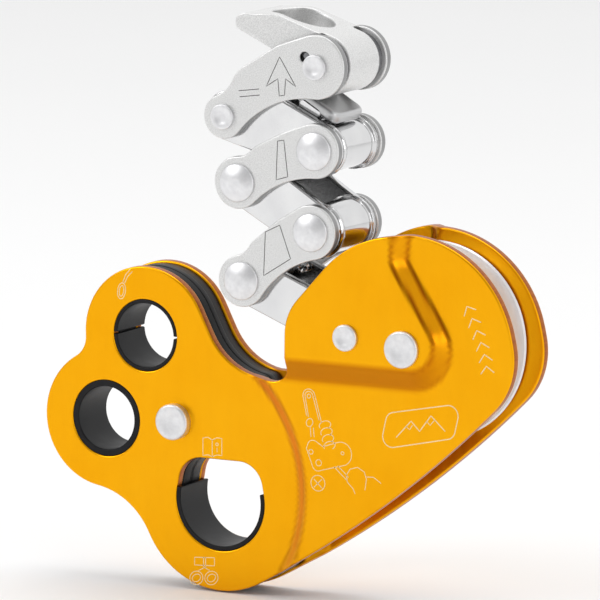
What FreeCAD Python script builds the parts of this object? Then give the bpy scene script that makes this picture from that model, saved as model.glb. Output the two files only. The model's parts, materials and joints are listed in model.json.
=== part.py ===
import FreeCAD, Part
import math
import os

# Rope ascender: two formed side plates carry a sheave and a chain of friction links.
# Frame: origin at the centre of the harness hole, midway between the plates.
# +X points from the harness hole to the sheave, +Z up along the rope, front plate on the -Y side.
# A place in the plane of the plates is (x, z); a belt circle is (x, z, radius).

# Side plates and the gaps between them
plateThickness = 2.7
lobeGap = 8.85          # between the plates, around the three connection holes
channelGap = 13.5       # beside the sheave, where the rope runs
bossClearance = 0.3     # each side of the bottom link, inside the raised bosses
rampRun = 3.0           # width of the slope between lobe level and channel level

# Outline of a plate, anticlockwise seen from the front
harnessLobe = (0.0, 0.0, 23.3)
upperLobe = (-21.8, 40.5, 17.6)
middleLobe = (-33.3, 18.3, 17.8)
neckHollow = (13.1, 50.4, -18.0)
notchCorner = (16.2, 37.6, -5.5)
bossCorner = (34.9, 45.0, 13.1)
upperNeckRadius = 6.0
lowerNeckRadius = 20.0
lowerEdgeRadius = 300.0

# Bends of a plate: the first bows round the harness hole, the second runs round the raised boss
lobeBow = (-16.0, 3.4, 41.9)
lobeBounds = {"left": -70.0, "top": 60.0, "bottom": -40.0}      # clear of the plate all round
lobeTopX, lobeBottomX, lobeEndRadius = -18.6, -5.6, 6.0
bossFoot = {"right": (56.6, 43.7, 10.5), "top": (60.0, 66.5, -5.0), "leftX": 19.5, "topX": 52.0}
bossCrest = {"right": (57.2, 45.0, 6.5), "top": (58.3, 66.8, -6.5), "leftX": 22.5, "topX": 48.0}
bossEndRadius = 5.0
bossEndZ = 84.0
innerBendShift = 0.9            # the inside of a bend lies this far from its outside
innerCrestShift = (-0.8, -0.9)

# Holes
upperHoleRadius = 9.2
middleHoleRadius = 9.8
harnessHole = [(0.0, -0.2, 12.8), (5.4, 3.6, 6.8), (-5.4, 3.6, 6.8)]
linerWall = 1.0
bushingWall = 1.65
harnessLinerWall = 1.2
harnessLinerTop = 2.4
linerRecess = 0.1
keeperGap = 0.5         # open gap between the two halves of the upper liner
spacerSetback = 0.5

# Rivets and studs
frameRivet = (-13.1, 19.2)
frameRivetRadius = 3.5
frameRivetHead = (4.65, 2.3)     # radius, height
axlePlace = (55.2, 43.8)
axleRadius = 4.0
axleHead = (4.7, 1.1)
studPlace = (39.3, 45.5)
studRadius = 2.5
studHead = (3.4, 1.0)
studFlange = (4.2, 0.7)

# Sheave and its ball bearing
sheaveRadius = 25.0
sheaveClearance = 0.55           # each side of the sheave, in the channel
sheaveCover = 4.6                # how far the plates reach past its rim
sheaveCornerRadius = 18.0
grooveRadius = 5.4
grooveSink = 0.2                 # centre of the groove's section below the rim
bearingStep = 1.2                # shoulder that the bearing seats on
sheaveWebWidth = 6.4
hubRadius = 14.0                 # inside of the recess in each face
rimDepth = 7.0                   # from the rim in to the recess
bearingRadius = 11.0
bearingWidth = 7.0
innerRingRadius = 6.2
outerRingBore = 8.9
raceDepth = 0.63
ballCount = 7
ballPlay = 0.06
shieldThickness = 0.4
shieldGap = 0.15                 # from a shield to the inner ring
shieldSink = 0.1                 # below the faces of the bearing
cageHalfWidth = 0.7
cageLevels = (0.8, 2.4)
spacerStep = 0.2                 # the axle spacers are this much smaller than the inner ring
circlipThickness = 1.0
circlipLip = 0.7                 # depth of its groove in the sheave
circlipReach = 1.3               # how far it covers the outer ring
circlipGap = 4.0                 # between its ends

# Friction chain, from the bottom pivot upwards: (length, lean in degrees) from pin to pin
chainSteps = [(32.3, 158.2), (24.0, 34.5), (23.7, 152.0), (23.8, 23.0), (26.9, 164.7), (29.7, 28.0)]
linkStep = 0.65         # how far the arms of the inner links stand outside the channel, each side
armThickness = 2.5
outerPlateThickness = 2.4
sideClearance = 0.1
runningClearance = 0.05
pinRadius = 2.6
flatHead = (3.2, 1.0)
domedHead = (4.8, 1.6)
domeEdge = 0.3          # share of a domed head's height that is its straight edge
headBevel = 0.3
sleeveRadius = 4.5
upperBarrelRadius = 6.0
lowerBarrelRadius = 6.4
armRadius = 6.4
lowerArmRadii = (6.1, 6.6)
bottomArmRadii = (6.1, 6.0)

# Outer plates: radii of the right end, left end, crown, waist hollow and neck hollow
plateOutlines = [(8.1, 5.6, 9.3, 26.0, 9.0), (6.9, 6.6, 7.3, 25.0, 6.0), (6.9, 6.6, 7.3, 25.0, 6.0)]
crownShares = (0.74, 0.40)       # places of the crown and the shoulder along the pin line
shoulderDrop = 0.5

# Inner links: a bulge, tab corner, web end or lug is (along, left of the pin line, radius)
upperArmBulge = (12.0, 0.6, 8.3)
lowerArmBulge = (10.0, 0.2, 7.3)
tabCorners = [(18.6, 9.6, 1.5), (19.8, 5.2, 1.4), (26.2, 7.9, 1.5)]
webEnds = [(7.2, -3.5, 2.2), (11.0, -3.6, 2.2)]
lug = (6.2, 4.4, 1.6)
lugHeight = 1.8

# Control lever
leverBrow = (8.4, 123.3, 1.3)
leverNose = (6.9, 122.2, 1.5)
leverBody = (16.0, 113.4, 11.5)
leverHollow = (16.1, 113.0, -3.0)
leverBarrelRadius = 7.7
leverPlay = 0.1
eyeCentre = (20.3, 123.2)
eyeRadii = (8.3, 7.3)            # along the lever, across the lever
eyeTilt = 11.5
leverEndRadius = 16.0
leverEndX = 3.1
leverEndZ = (90.0, 150.0)        # levels that clear the lever, below and above
leverFrontX = 8.0                # left of the pin, the round end starts here
springPocketDepth = 2.9
washerPocketDepth = 2.2
washerRadius = 7.0
pocketMargin = 0.3      # the pocket reaches past the round of the lever
springClearance = 0.1
springStrip = 0.5       # thickness of the strip that the flat spiral is wound from
springBore = 0.6        # from the pin to the inside of its first turn
springStep = 0.8        # growth for each half turn
springHalfTurns = 5
stopPinRadius = 0.8
stopHoleRadius = 1.35
stopPinGap = 0.4        # from the pin to the stop pin beside it
stopPinSeat = 4.0       # depth of its hole in the lever
stopPinSink = 0.3       # its end lies this far below the outer plate
stopPinAngle = 135.0
leverTravel = 12.0
stopSlack = 1.0         # degrees

# Levels measured from the mid-plane
lobeInner, channelInner = lobeGap / 2, channelGap / 2
armInner = channelInner + linkStep
armFace = armInner + armThickness
bossInner = armFace + bossClearance
lobeFace = lobeInner + plateThickness
channelFace = channelInner + plateThickness
bossFace = bossInner + plateThickness
outerInner = armFace + sideClearance
outerFace = outerInner + outerPlateThickness

# Sizes that follow from others
sheaveWidth = channelGap - 2 * sheaveClearance
sheaveLobe = (axlePlace[0] - 0.4, axlePlace[1] - 1.5, sheaveRadius + sheaveCover)
cornerShift = sheaveLobe[2] - sheaveCornerRadius - 0.2
sheaveCorner = (axlePlace[0] + cornerShift, axlePlace[1] - 1.2, sheaveCornerRadius)
ballRadius = (outerRingBore - innerRingRadius) / 2 + raceDepth
spacerRadius = innerRingRadius - spacerStep
springRadius = pinRadius + springBore
stopPinArm = pinRadius + stopPinGap + stopPinRadius


def point(place, y):
    return FreeCAD.Vector(place[0], y, place[1])


def heading(theta):
    """Left-hand normal of a path that runs at angle theta."""
    return -math.sin(theta), math.cos(theta)


def touch(circle, theta):
    """Point where a path at angle theta touches a circle; a hollow has a negative radius."""
    nx, nz = heading(theta)
    return circle[0] - circle[2] * nx, circle[1] - circle[2] * nz


def bridge(a, b, radius, hollow=True):
    """Circle that touches a and b: outside them for a hollow, around them for a long bow."""
    reachA = a[2] + radius if hollow else radius - a[2]
    reachB = b[2] + radius if hollow else radius - b[2]
    dx, dz = b[0] - a[0], b[1] - a[1]
    span = math.hypot(dx, dz)
    along = (reachA ** 2 - reachB ** 2 + span ** 2) / (2 * span)
    off = math.sqrt(max(reachA ** 2 - along ** 2, 0.0)) * (-1 if hollow else 1)
    ux, uz = dx / span, dz / span
    x, z = a[0] + along * ux - off * uz, a[1] + along * uz + off * ux
    return x, z, -radius if hollow else radius


def belt(circles, y):
    """Closed loop of arcs and tangent lines round the circles, anticlockwise from the front."""
    runs = []
    for a, b in zip(circles, circles[1:] + circles[:1]):
        dx, dz = b[0] - a[0], b[1] - a[1]
        slope = max(-1.0, min(1.0, (b[2] - a[2]) / math.hypot(dx, dz)))
        theta = math.atan2(dz, dx) - math.asin(slope)
        start, end = touch(a, theta), touch(b, theta)
        if math.dist(start, end) < 1e-4:
            end = start
        runs.append((theta, start, end))
    edges = []
    for circle, run, following in zip(circles[1:] + circles[:1], runs, runs[1:] + runs[:1]):
        theta, start, end = run
        if start != end:
            edges.append(Part.LineSegment(point(start, y), point(end, y)).toShape())
        sweep = (following[0] - theta) % (2 * math.pi)
        if circle[2] < 0:
            sweep -= 2 * math.pi
        if 1e-6 < abs(sweep) < 2 * math.pi - 1e-6:
            middle = touch(circle, theta + sweep / 2)
            arc = Part.Arc(point(end, y), point(middle, y), point(following[1], y))
            edges.append(arc.toShape())
    return edges


def grown(circles, amount):
    return [(x, z, r + amount) for x, z, r in circles]


def moved(circles, dx, dz):
    return [(x + dx, z + dz, r) for x, z, r in circles]


def prism(circles, y0, y1):
    """Solid between two levels, with a belt for its outline."""
    return Part.Face(Part.Wire(belt(circles, y0))).extrude(FreeCAD.Vector(0, y1 - y0, 0))


def ramp(circles0, y0, circles1, y1):
    """Solid whose outline changes evenly from one belt to another of as many edges."""
    low, high = belt(circles0, y0), belt(circles1, y1)
    sides = [Part.makeRuledSurface(a, b) for a, b in zip(low, high)]
    return Part.Solid(Part.Shell(sides + [Part.Face(Part.Wire(low)), Part.Face(Part.Wire(high))]))


def rod(place, radius, y0, y1):
    low, high = min(y0, y1), max(y0, y1)
    return Part.makeCylinder(radius, high - low, point(place, low), FreeCAD.Vector(0, 1, 0))


def tube(place, outer, inner, y0, y1):
    return rod(place, outer, y0, y1).cut(rod(place, inner, y0, y1))


def dome(place, radius, height, y, side):
    """Domed head that stands on the plane y and bulges towards side, +1 or -1."""
    edge = height * domeEdge
    rise = height - edge
    ball = (radius ** 2 + rise ** 2) / (2 * rise)
    centre = point(place, y + side * (height - ball))
    return Part.makeSphere(ball, centre).common(rod(place, radius, y, y + side * height))


def flat(place, radius, height, y, side):
    """Flat head with a chamfered rim."""
    bevel = min(headBevel, height / 3)
    low = rod(place, radius, y, y + side * (height - bevel))
    top = Part.makeCone(radius, radius - bevel, bevel, point(place, y + side * (height - bevel)),
                        FreeCAD.Vector(0, side, 0))
    return low.fuse(top).removeSplitter()


def mirrored(shape):
    return shape.mirror(FreeCAD.Vector(0, 0, 0), FreeCAD.Vector(0, 1, 0))


def box(x0, x1, y0, y1, z0, z1):
    return Part.makeBox(x1 - x0, y1 - y0, z1 - z0, FreeCAD.Vector(x0, y0, z0))


nodes = {}


def keep(name, *shapes):
    """Store a node: one solid, or a group of separate solids."""
    solids = [solid for shape in shapes for solid in shape.Solids]
    nodes[name] = solids[0] if len(solids) == 1 else Part.makeCompound(solids)


# ---- Side plates ----

def plateOutline():
    upperNeck = bridge(upperLobe, middleLobe, upperNeckRadius)
    lowerNeck = bridge(middleLobe, harnessLobe, lowerNeckRadius)
    lowerEdge = bridge(harnessLobe, sheaveCorner, lowerEdgeRadius, hollow=False)
    return [harnessLobe, lowerEdge, sheaveCorner, sheaveLobe, bossCorner, notchCorner, neckHollow,
            upperLobe, upperNeck, middleLobe, lowerNeck]


def lobeRegion():
    """The area at lobe level; only its right-hand side, the bow, crosses the plate."""
    left, top, bottom = lobeBounds["left"], lobeBounds["top"], lobeBounds["bottom"]
    end = lobeEndRadius
    return [lobeBow, (lobeTopX, top, end), (left, top, end), (left, bottom, end), (lobeBottomX, bottom, end)]


def bossRegion(bends):
    """The raised area: a corner round the axle, a slanting side and an open top left."""
    right, leftX, end = bends["right"], bends["leftX"], bossEndRadius
    return [(leftX, right[1] - right[2] + end, end), right, bends["top"],
            (bends["topX"], bossEndZ, end), (leftX, bossEndZ, end)]


def steppedBlock(lobeLevel, channelLevel, bossLevel, shift, crestShift):
    """Everything from the mid-plane out to a stepped surface, on the front side."""
    outline = plateOutline()
    full = prism(outline, 0, -channelLevel)
    lobeTop = grown(lobeRegion(), shift)
    lobeFoot = grown(lobeRegion(), shift - rampRun)
    above = channelLevel - lobeLevel
    over = grown(lobeTop, rampRun)
    pocket = ramp(lobeFoot, -lobeLevel, over, -(lobeLevel + 2 * above))
    foot = grown(bossRegion(bossFoot), -shift)
    crest = moved(bossRegion(bossCrest), *crestShift)
    boss = ramp(foot, -channelLevel, crest, -bossLevel).common(prism(outline, 0, -bossLevel - 1))
    return full.cut(pocket).fuse(boss)


def sidePlate():
    outer = steppedBlock(lobeFace, channelFace, bossFace, 0.0, (0.0, 0.0))
    inner = steppedBlock(lobeInner, channelInner, bossInner, innerBendShift, innerCrestShift)
    plate = outer.cut(inner)
    deep = bossFace + 1
    for place, radius in ((upperLobe, upperHoleRadius), (middleLobe, middleHoleRadius),
                          (frameRivet, frameRivetRadius), (axlePlace, axleRadius),
                          (studPlace, studRadius)):
        plate = plate.cut(rod(place, radius, 0, -deep))
    return plate.cut(prism(harnessHole, 0, -deep))


frontPlate = sidePlate()
keep("front_side_plate", frontPlate)
keep("rear_side_plate", mirrored(frontPlate))

# ---- Spacer and liners between the plates ----

spacerEdge = grown(plateOutline(), -spacerSetback)
spacerSide = grown(lobeRegion(), -rampRun)
spacer = prism(spacerEdge, -lobeInner, lobeInner).common(prism(spacerSide, -lobeInner, lobeInner))
for place, radius in ((upperLobe, upperHoleRadius), (middleLobe, middleHoleRadius),
                      (frameRivet, frameRivetRadius)):
    spacer = spacer.cut(rod(place, radius, -lobeInner, lobeInner))
keep("core_spacer", spacer.cut(prism(harnessHole, -lobeInner, lobeInner)))

linerFace = lobeFace - linerRecess
upperRing = tube(upperLobe, upperHoleRadius, upperHoleRadius - linerWall, -linerFace, linerFace)
reach = upperHoleRadius + 1
left, right = upperLobe[0] - reach, upperLobe[0] + reach
half = keeperGap / 2
keep("upper_hole_liner", upperRing.common(
    box(left, right, -lobeFace, lobeFace, upperLobe[1] + half, upperLobe[1] + reach)))
keep("upper_hole_keeper", upperRing.common(
    box(left, right, -lobeFace, lobeFace, upperLobe[1] - reach, upperLobe[1] - half)))
keep("middle_hole_bushing",
     tube(middleLobe, middleHoleRadius, middleHoleRadius - bushingWall, -linerFace, linerFace))
harnessRing = prism(harnessHole, -linerFace, linerFace)
harnessRing = harnessRing.cut(prism(grown(harnessHole, -harnessLinerWall), -linerFace, linerFace))
keep("harness_hole_liner", harnessRing.common(
    box(-20, 20, -lobeFace, lobeFace, -20, harnessLinerTop)))


# ---- Fasteners of the frame ----

def rivet(place, radius, head, face, headShape):
    shank = rod(place, radius, -face, face)
    return shank.fuse(headShape(place, *head, -face, -1)).fuse(headShape(place, *head, face, 1))


keep("frame_rivet", rivet(frameRivet, frameRivetRadius, frameRivetHead, lobeFace, flat))
keep("pulley_axle", rivet(axlePlace, axleRadius, axleHead, bossFace, flat))

stud = rod(studPlace, studRadius, -bossFace, -armInner)
stud = stud.fuse(flat(studPlace, *studHead, -bossFace, -1))
flangeFace = armInner - sideClearance
stud = stud.fuse(rod(studPlace, studRadius, -armInner, -flangeFace))
stud = stud.fuse(rod(studPlace, studFlange[0], -flangeFace, -(flangeFace - studFlange[1])))
keep("link_pivot_studs", stud, mirrored(stud))


# ---- Sheave and bearing ----

def torus(place, radius, section):
    return Part.makeTorus(radius, section, point(place, 0), FreeCAD.Vector(0, 1, 0))


halfBearing = bearingWidth / 2
sheave = rod(axlePlace, sheaveRadius, -sheaveWidth / 2, sheaveWidth / 2)
sheave = sheave.cut(torus(axlePlace, sheaveRadius - grooveSink, grooveRadius))
for side in (-1, 1):
    sheave = sheave.cut(tube(axlePlace, sheaveRadius - rimDepth, hubRadius,
                             side * sheaveWebWidth / 2, side * sheaveWidth / 2))
sheave = sheave.cut(rod(axlePlace, bearingRadius, -halfBearing, sheaveWidth / 2))
sheave = sheave.cut(rod(axlePlace, bearingRadius - bearingStep, -sheaveWidth / 2, -halfBearing))
clipRadius, clipFace = bearingRadius + circlipLip, halfBearing + circlipThickness
sheave = sheave.cut(rod(axlePlace, clipRadius, halfBearing, clipFace))
keep("sheave", sheave)

circlip = tube(axlePlace, clipRadius, bearingRadius - circlipReach, halfBearing, clipFace)
keep("bearing_circlip", circlip.cut(
    box(axlePlace[0] - circlipGap / 2, axlePlace[0] + circlipGap / 2, halfBearing, clipFace,
        axlePlace[1], axlePlace[1] + 2 * clipRadius)))

pitch = (innerRingRadius + outerRingBore) / 2
race = torus(axlePlace, pitch, ballRadius + ballPlay)
outerRing = tube(axlePlace, bearingRadius, outerRingBore, -halfBearing, halfBearing)
innerRing = tube(axlePlace, innerRingRadius, axleRadius, -halfBearing, halfBearing)
keep("bearing_outer_ring", outerRing.cut(race))
keep("bearing_inner_ring", innerRing.cut(race))
ballPlaces = [(axlePlace[0] + pitch * math.cos(2 * math.pi * i / ballCount),
               axlePlace[1] + pitch * math.sin(2 * math.pi * i / ballCount)) for i in range(ballCount)]
keep("bearing_balls", *[Part.makeSphere(ballRadius, point(place, 0)) for place in ballPlaces])
cage = tube(axlePlace, pitch + cageHalfWidth, pitch - cageHalfWidth, *cageLevels)
for place in ballPlaces:
    cage = cage.cut(Part.makeSphere(ballRadius + ballPlay, point(place, 0)))
keep("bearing_cage", cage)
shieldFace = halfBearing - shieldSink
shield = tube(axlePlace, outerRingBore, innerRingRadius + shieldGap,
              shieldFace - shieldThickness, shieldFace)
keep("bearing_shields", shield, mirrored(shield))
axleSpacer = tube(axlePlace, spacerRadius, axleRadius, halfBearing, bossInner)
keep("axle_spacers", axleSpacer, mirrored(axleSpacer))


# ---- Friction chain ----

def walk(place, length, lean):
    angle = math.radians(lean)
    return place[0] + length * math.cos(angle), place[1] + length * math.sin(angle)


def along(start, end, u, w):
    """Place u along and w to the left of the line from start to end."""
    length = math.dist(start, end)
    ux, uz = (end[0] - start[0]) / length, (end[1] - start[1]) / length
    return start[0] + u * ux - w * uz, start[1] + u * uz + w * ux


pins = [studPlace]
for length, lean in chainSteps:
    pins.append(walk(pins[-1], length, lean))
pinB3, pinA3, pinB2, pinA2, pinB1, pinA1 = pins[1:]


def circleOn(start, end, u, w, radius):
    return along(start, end, u, w) + (radius,)


def outerOutline(b, a, endRadius, tipRadius, crown, waist, neck):
    """Outline of an outer plate: b is the left pin, a the right one, crown the bulge on top."""
    length = math.dist(b, a)
    left, right = b + (tipRadius,), a + (endRadius,)
    bulge = circleOn(b, a, length * crownShares[0], 0, crown)
    shoulder = circleOn(b, a, length * crownShares[1], 0, crown - shoulderDrop)
    return [left, bridge(left, right, waist), right, bulge, shoulder,
            bridge(shoulder, left, neck)]


def outerPlate(outline, *places):
    plate = prism(outline, -outerFace, -outerInner)
    for place in places:
        plate = plate.cut(rod(place, pinRadius, -outerFace, -outerInner))
    return plate


def chainPin(place, head, headShape):
    shank = rod(place, pinRadius, -outerFace, outerFace)
    return shank.fuse(headShape(place, *head, -outerFace, -1)).fuse(headShape(place, *head, outerFace, 1))


stopPlace = walk(pinA1, stopPinArm, stopPinAngle)
stopHolePlace = walk(pinA1, stopPinArm, stopPinAngle + leverTravel / 2 + stopSlack)
plateEnds = [(pinB1, pinA1), (pinB2, pinA2), (pinB3, pinA3)]
for number, (sizes, places) in enumerate(zip(plateOutlines, plateEnds), 1):
    plate = outerPlate(outerOutline(*places, *sizes), *places)
    if number == 1:
        plate = plate.cut(rod(stopHolePlace, stopHoleRadius, -outerFace, -outerInner))
    keep(f"outer_plate_{number}_front", plate)
    keep(f"outer_plate_{number}_rear", mirrored(plate))
for name, place in (("a1", pinA1), ("b1", pinB1)):
    keep(f"chain_pin_{name}", chainPin(place, flatHead, flat))
for name, place in (("a2", pinA2), ("b2", pinB2), ("a3", pinA3), ("b3", pinB3)):
    keep(f"chain_pin_{name}", chainPin(place, domedHead, dome))
sleeveHalf = armInner - sideClearance
for name, place in (("b1", pinB1), ("b2", pinB2), ("b3", pinB3)):
    keep(f"chain_sleeve_{name}", tube(place, sleeveRadius, pinRadius, -sleeveHalf, sleeveHalf))


def innerLink(outline, barrel, webs, holes, boreRadius):
    """Two arms joined by a barrel round one pin, or by webs between the arms."""
    arm = prism(outline, -armFace, -armInner)
    link = arm.fuse(mirrored(arm))
    if barrel:
        link = link.fuse(rod(barrel[:2], barrel[2], -armInner, armInner))
    for web in webs:
        link = link.fuse(prism(web, -armInner, armInner))
    for place in holes:
        link = link.cut(rod(place, boreRadius, -armFace, armFace))
    return link


boreRadius = pinRadius + runningClearance
upperArm = [pinB1 + (armRadius,), pinA2 + (armRadius,), circleOn(pinB1, pinA2, *upperArmBulge)]
tab = [circleOn(pinB1, pinA2, *corner) for corner in tabCorners]
keep("upper_friction_link",
     innerLink(upperArm, pinA2 + (upperBarrelRadius,), [tab], (pinB1, pinA2), boreRadius))
lowerArm = [pinB2 + (lowerArmRadii[0],), pinA3 + (lowerArmRadii[1],), circleOn(pinB2, pinA3, *lowerArmBulge)]
keep("lower_friction_link",
     innerLink(lowerArm, pinA3 + (lowerBarrelRadius,), [], (pinB2, pinA3), boreRadius))

bottomArm = [pinB3 + (bottomArmRadii[0],), studPlace + (bottomArmRadii[1],)]
web = [circleOn(pinB3, studPlace, *end) for end in webEnds]
bottomLink = innerLink(bottomArm, None, [web], (pinB3,), boreRadius)
bottomLink = bottomLink.cut(rod(studPlace, studRadius + runningClearance, -armFace, armFace))
lugRod = rod(along(pinB3, studPlace, *lug[:2]), lug[2], -armInner, -armInner + lugHeight)
keep("bottom_link", bottomLink.fuse(lugRod).fuse(mirrored(lugRod)))

# ---- Control lever ----

leverFace = outerInner - leverPlay
leverSide = [pinA1 + (leverBarrelRadius,), leverBody, leverBrow, leverNose, leverHollow]
lever = prism(leverSide, -leverFace, leverFace)
low, high = leverEndZ
endAxis = FreeCAD.Vector(leverEndX + leverEndRadius, 0, low)
endCylinder = Part.makeCylinder(leverEndRadius, high - low, endAxis)
behind = box(pinA1[0] - leverFrontX, pinA1[0] + 2 * leverBarrelRadius, -outerInner, outerInner, low, high)
lever = lever.common(endCylinder.fuse(behind))
eye = Part.Ellipse()
eye.MajorRadius, eye.MinorRadius = eyeRadii
eyeSolid = Part.Face(Part.Wire(eye.toShape())).extrude(FreeCAD.Vector(0, 0, high - low))
eyeSolid.translate(FreeCAD.Vector(0, 0, (low - high) / 2))
eyeSolid.rotate(FreeCAD.Vector(0, 0, 0), FreeCAD.Vector(0, 1, 0), eyeTilt)
eyeSolid.translate(point(eyeCentre, 0))
lever = lever.cut(eyeSolid)
lever = lever.cut(rod(pinA1, boreRadius, -leverFace, leverFace))
pocketFloor, stopPinEnd = outerInner - springPocketDepth, stopPinSeat - leverFace
lever = lever.cut(rod(pinA1, leverBarrelRadius + pocketMargin, pocketFloor, outerInner))
washerFloor = outerInner - washerPocketDepth
lever = lever.cut(rod(pinA1, leverBarrelRadius + pocketMargin, -outerInner, -washerFloor))
lever = lever.cut(rod(stopPlace, stopPinRadius, -leverFace, stopPinEnd))
keep("control_lever", max(lever.Solids, key=lambda solid: solid.Volume))
washer = tube(pinA1, washerRadius, boreRadius, -leverFace, -washerFloor)
keep("lever_washer", washer.cut(rod(stopPlace, stopPinRadius, -leverFace, -washerFloor)))
keep("lever_stop_pin", rod(stopPlace, stopPinRadius, stopPinEnd, stopPinSink - outerFace))


def spiralEdges(centre, radius, y):
    """Half circles that grow by a step each; their centres are a step apart, in turn."""
    edges = []
    for i in range(springHalfTurns):
        side = 1 if i % 2 == 0 else -1
        x = centre[0] + (springStep if i % 2 else 0)
        reach = radius + i * springStep
        start, end = (x + side * reach, centre[1]), (x - side * reach, centre[1])
        top = (x, centre[1] + side * reach)
        edges.append(Part.Arc(point(start, y), point(top, y), point(end, y)).toShape())
    return edges


springBase = pocketFloor + springClearance
strip = [spiralEdges(pinA1, springRadius + offset, springBase) for offset in (0, springStrip)]
ends = [Part.LineSegment(strip[0][i].Vertexes[j].Point, strip[1][i].Vertexes[j].Point).toShape()
        for i, j in ((0, 0), (-1, -1))]
springFace = Part.Face(Part.Wire(strip[0] + [ends[1]] + strip[1][::-1] + [ends[0]]))
keep("lever_spring", springFace.extrude(FreeCAD.Vector(0, outerInner - springBase, 0)))

os.makedirs("parts", exist_ok=True)
for name, shape in nodes.items():
    shape.exportStep(f"parts/{name}.step")
    print(f"{name:24s} solids {len(shape.Solids)} volume {shape.Volume:10.1f} valid {shape.isValid()}")
print(len(nodes), "nodes")
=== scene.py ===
import json
import math

import bmesh
import bpy
import numpy as np
from mathutils import Matrix, Vector
from mathutils.geometry import delaunay_2d_cdt


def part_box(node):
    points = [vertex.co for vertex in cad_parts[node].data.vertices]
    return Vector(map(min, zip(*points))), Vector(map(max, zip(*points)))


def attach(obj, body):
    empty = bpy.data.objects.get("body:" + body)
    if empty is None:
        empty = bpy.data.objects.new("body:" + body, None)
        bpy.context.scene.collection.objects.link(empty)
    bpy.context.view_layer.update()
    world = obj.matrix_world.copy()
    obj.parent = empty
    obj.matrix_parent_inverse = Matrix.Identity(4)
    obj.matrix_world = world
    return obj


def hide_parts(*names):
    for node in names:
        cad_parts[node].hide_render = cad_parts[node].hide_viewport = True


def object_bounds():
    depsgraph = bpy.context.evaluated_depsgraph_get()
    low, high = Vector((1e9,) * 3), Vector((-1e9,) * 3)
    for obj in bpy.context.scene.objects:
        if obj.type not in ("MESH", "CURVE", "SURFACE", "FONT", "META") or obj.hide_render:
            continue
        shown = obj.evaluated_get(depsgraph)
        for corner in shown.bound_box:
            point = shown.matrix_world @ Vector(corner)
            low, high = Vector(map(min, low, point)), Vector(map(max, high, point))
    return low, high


# Rope ascender. Lengths in this file are millimetres until a mesh is made.
# A place in the plane of the plates is (x, z); a belt circle is (x, z, radius).

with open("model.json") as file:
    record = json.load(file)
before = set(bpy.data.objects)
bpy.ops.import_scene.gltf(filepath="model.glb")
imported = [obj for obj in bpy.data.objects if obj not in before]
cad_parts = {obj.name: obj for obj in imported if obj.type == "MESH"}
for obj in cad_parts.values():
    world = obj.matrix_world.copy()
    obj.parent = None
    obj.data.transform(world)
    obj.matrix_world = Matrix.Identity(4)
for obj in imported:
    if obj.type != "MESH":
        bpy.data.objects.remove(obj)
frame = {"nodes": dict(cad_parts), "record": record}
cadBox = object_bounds()
mm = 0.001


def boxOf(node):
    low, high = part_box(node)
    return low / mm, high / mm


def middle(*nodes):
    lows, highs = zip(*[boxOf(node) for node in nodes])
    low = [min(corner[i] for corner in lows) for i in range(3)]
    high = [max(corner[i] for corner in highs) for i in range(3)]
    return (low[0] + high[0]) / 2, (low[2] + high[2]) / 2


axle = middle("pulley_axle")
stud = middle("link_pivot_studs")
rivetAt = middle("frame_rivet")
upperHole = middle("upper_hole_liner", "upper_hole_keeper")
middleHole = middle("middle_hole_bushing")
harnessHole = (0.0, 0.0)
pins = {name: middle("chain_pin_" + name) for name in ("a1", "b1", "a2", "b2", "a3", "b3")}
print("frame loaded")


# Belts are closed outlines of arcs and tangent lines.
belt = {"arcStep": 5.0, "lengthStep": 1.6}


def bridge(a, b, radius, hollow=True):
    # the circle that touches a and b: outside them for a hollow, round them for a long bow
    reachA = a[2] + radius if hollow else radius - a[2]
    reachB = b[2] + radius if hollow else radius - b[2]
    dx, dz = b[0] - a[0], b[1] - a[1]
    span = math.hypot(dx, dz)
    forward = (reachA ** 2 - reachB ** 2 + span ** 2) / (2 * span)
    off = math.sqrt(max(reachA ** 2 - forward ** 2, 0.0)) * (-1 if hollow else 1)
    ux, uz = dx / span, dz / span
    place = (a[0] + forward * ux - off * uz, a[1] + forward * uz + off * ux)
    return (*place, -radius if hollow else radius)


def touch(circle, theta, grow):
    radius = circle[2] + grow
    return circle[0] + radius * math.sin(theta), circle[1] - radius * math.cos(theta)


def beltPoints(circles, grow=0.0):
    # grow offsets the outline; the number of points doesn't depend on it
    headings = []
    for a, b in zip(circles, circles[1:] + circles[:1]):
        dx, dz = b[0] - a[0], b[1] - a[1]
        slope = max(-1.0, min(1.0, (b[2] - a[2]) / math.hypot(dx, dz)))
        headings.append(math.atan2(dz, dx) - math.asin(slope))
    points = []
    for i, circle in enumerate(circles):
        before, after = headings[i - 1], headings[i]
        sweep = (after - before) % (2 * math.pi)
        if circle[2] < 0:
            sweep -= 2 * math.pi
        if abs(sweep) > 2 * math.pi - 1e-6:
            sweep = 0.0
        count = max(1, math.ceil(abs(math.degrees(sweep)) / belt["arcStep"]),
                    math.ceil(abs(sweep * circle[2]) / belt["lengthStep"]))
        points += [touch(circle, before + sweep * k / count, grow) for k in range(count + 1)]
        start, end = points[-1], touch(circles[(i + 1) % len(circles)], after, grow)
        plain = math.dist(touch(circle, after, 0), touch(circles[(i + 1) % len(circles)], after, 0))
        count = max(1, math.ceil(plain / belt["lengthStep"]))
        points += [(start[0] + (end[0] - start[0]) * k / count, start[1] + (end[1] - start[1]) * k / count)
                   for k in range(1, count)]
    kept = [points[i] for i in range(len(points)) if math.dist(points[i], points[i - 1]) > 1e-6]
    return np.array(kept)


def ringPoints(circle, grow=0.0, count=72):
    turn = np.linspace(0, 2 * math.pi, count, endpoint=False)
    radius = circle[2] + grow
    return np.column_stack([circle[0] + radius * np.cos(turn), circle[1] + radius * np.sin(turn)])


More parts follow.
